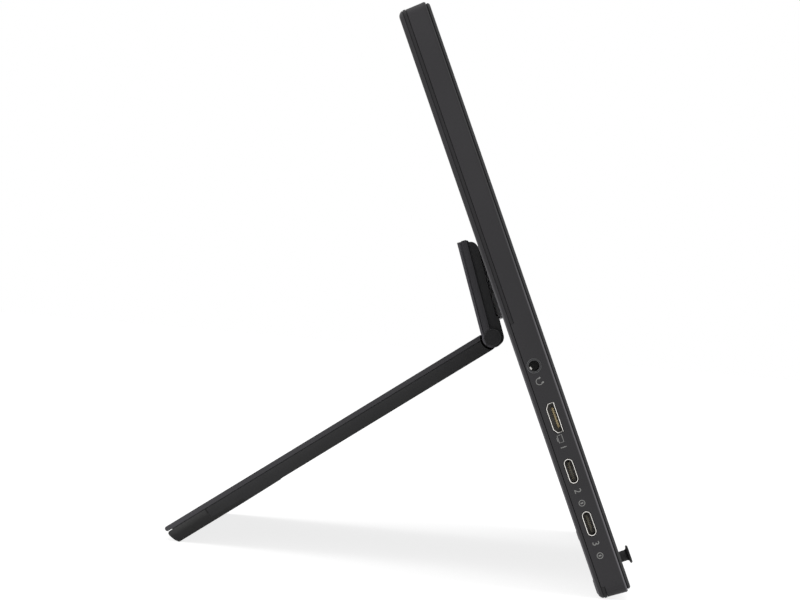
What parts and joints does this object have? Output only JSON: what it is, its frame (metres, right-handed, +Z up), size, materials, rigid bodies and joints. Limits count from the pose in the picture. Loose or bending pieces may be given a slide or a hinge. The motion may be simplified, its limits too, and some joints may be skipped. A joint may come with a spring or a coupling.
{
  "type": "portable monitor",
  "caption": "Thin portable monitor leaning on a folding two-stage stand that turns on its back, with side sockets and a small joystick.",
  "frame": {"origin": "on the table under the middle of the object's width and depth", "axes": "+X to the right seen from the front, -Y towards the viewer of the screen, +Z up"},
  "size_m": [0.356, 0.1795, 0.208],
  "materials": {
    "bezel": "fine matt",
    "housing": "fine matt, bright chamfer",
    "screen": "anti-glare",
    "light_unit": "white film",
    "sheet_metal": "mill finish",
    "board_green": "solder mask",
    "flat_cable": "polyimide film",
    "shield": "tinned",
    "socket_black": "moulded",
    "socket_metal": "stamped",
    "speaker": "moulded",
    "screw": "dark zinc",
    "rubber_black": "matt",
    "joystick": "matt",
    "switch_plastic": "moulded",
    "hinge_steel": "ground",
    "hinge_leaf": "satin black",
    "turntable": "fine matt",
    "stand_dark": "fine matt",
    "stand_skin": "fine matt",
    "leg_body": "fine matt"
  },
  "bodies": {
    "monitor": {"front_bezel": "bezel", "display_panel": "screen", "backlight_unit": "light_unit", "panel_tray": "sheet_metal", "panel_board": "board_green", "panel_cable": "flat_cable", "mid_frame": "housing", "rear_cover": "housing", "main_board": "board_green", "shield_can": "shield", "audio_jack": "socket_black", "video_socket": "socket_metal", "usb_socket_upper": "socket_metal", "usb_socket_lower": "socket_metal", "speaker_left": "speaker", "speaker_right": "speaker", "cover_screws": "screw", "board_screws": "screw", "table_feet": "rubber_black", "joystick_base": "socket_black"},
    "joystick_yoke": {"joystick_yoke": "switch_plastic"},
    "joystick_stem": {"joystick_stem": "hinge_steel"},
    "joystick_cap": {"joystick_cap": "joystick"},
    "turntable": {"swivel_disc": "turntable", "swivel_retainer": "sheet_metal", "swivel_washer": "hinge_steel", "retainer_screws": "screw", "upper_hinge_base": "hinge_leaf", "upper_hinge_shafts": "hinge_steel"},
    "bracket": {"bracket_shell": "stand_dark", "bracket_cover": "stand_skin", "pivot_caps": "stand_dark", "lower_hinge_shafts": "hinge_steel"},
    "leg": {"leg_shell": "leg_body", "leg_cover": "stand_skin", "leg_foot": "rubber_black", "friction_clips": "hinge_steel", "leg_screws": "screw"}
  },
  "joints": [
    {"name": "stand_swivel", "type": "hinge", "parent": "monitor", "child": "turntable", "pos_m": [0, -0.03245, 0.10153], "axis": [0, -0.9143, 0.4051], "range_deg": [0, 90]},
    {"name": "bracket_hinge", "type": "hinge", "parent": "turntable", "child": "bracket", "pos_m": [0, -0.01939, 0.12309], "axis": [1, 0, 0], "range_deg": [-2.7, 55]},
    {"name": "leg_hinge", "type": "hinge", "parent": "bracket", "child": "leg", "pos_m": [0, -0.03087, 0.08981], "axis": [1, 0, 0], "range_deg": [-74.3, 6]},
    {"name": "joystick_tilt", "type": "hinge", "parent": "monitor", "child": "joystick_yoke", "pos_m": [-0.15, -0.07896, 0.01112], "axis": [1, 0, 0], "range_deg": [-4, 4], "stiffness_Nm_per_rad": 0.02},
    {"name": "joystick_pan", "type": "hinge", "parent": "joystick_yoke", "child": "joystick_stem", "pos_m": [-0.15, -0.07896, 0.01112], "axis": [0, 0.4051, 0.9143], "range_deg": [-4, 4], "stiffness_Nm_per_rad": 0.02},
    {"name": "joystick_press", "type": "slide", "parent": "joystick_stem", "child": "joystick_cap", "axis": [0, 0.9143, -0.4051], "range_m": [0, 0.0004], "stiffness_N_per_m": 1200}
  ]
}
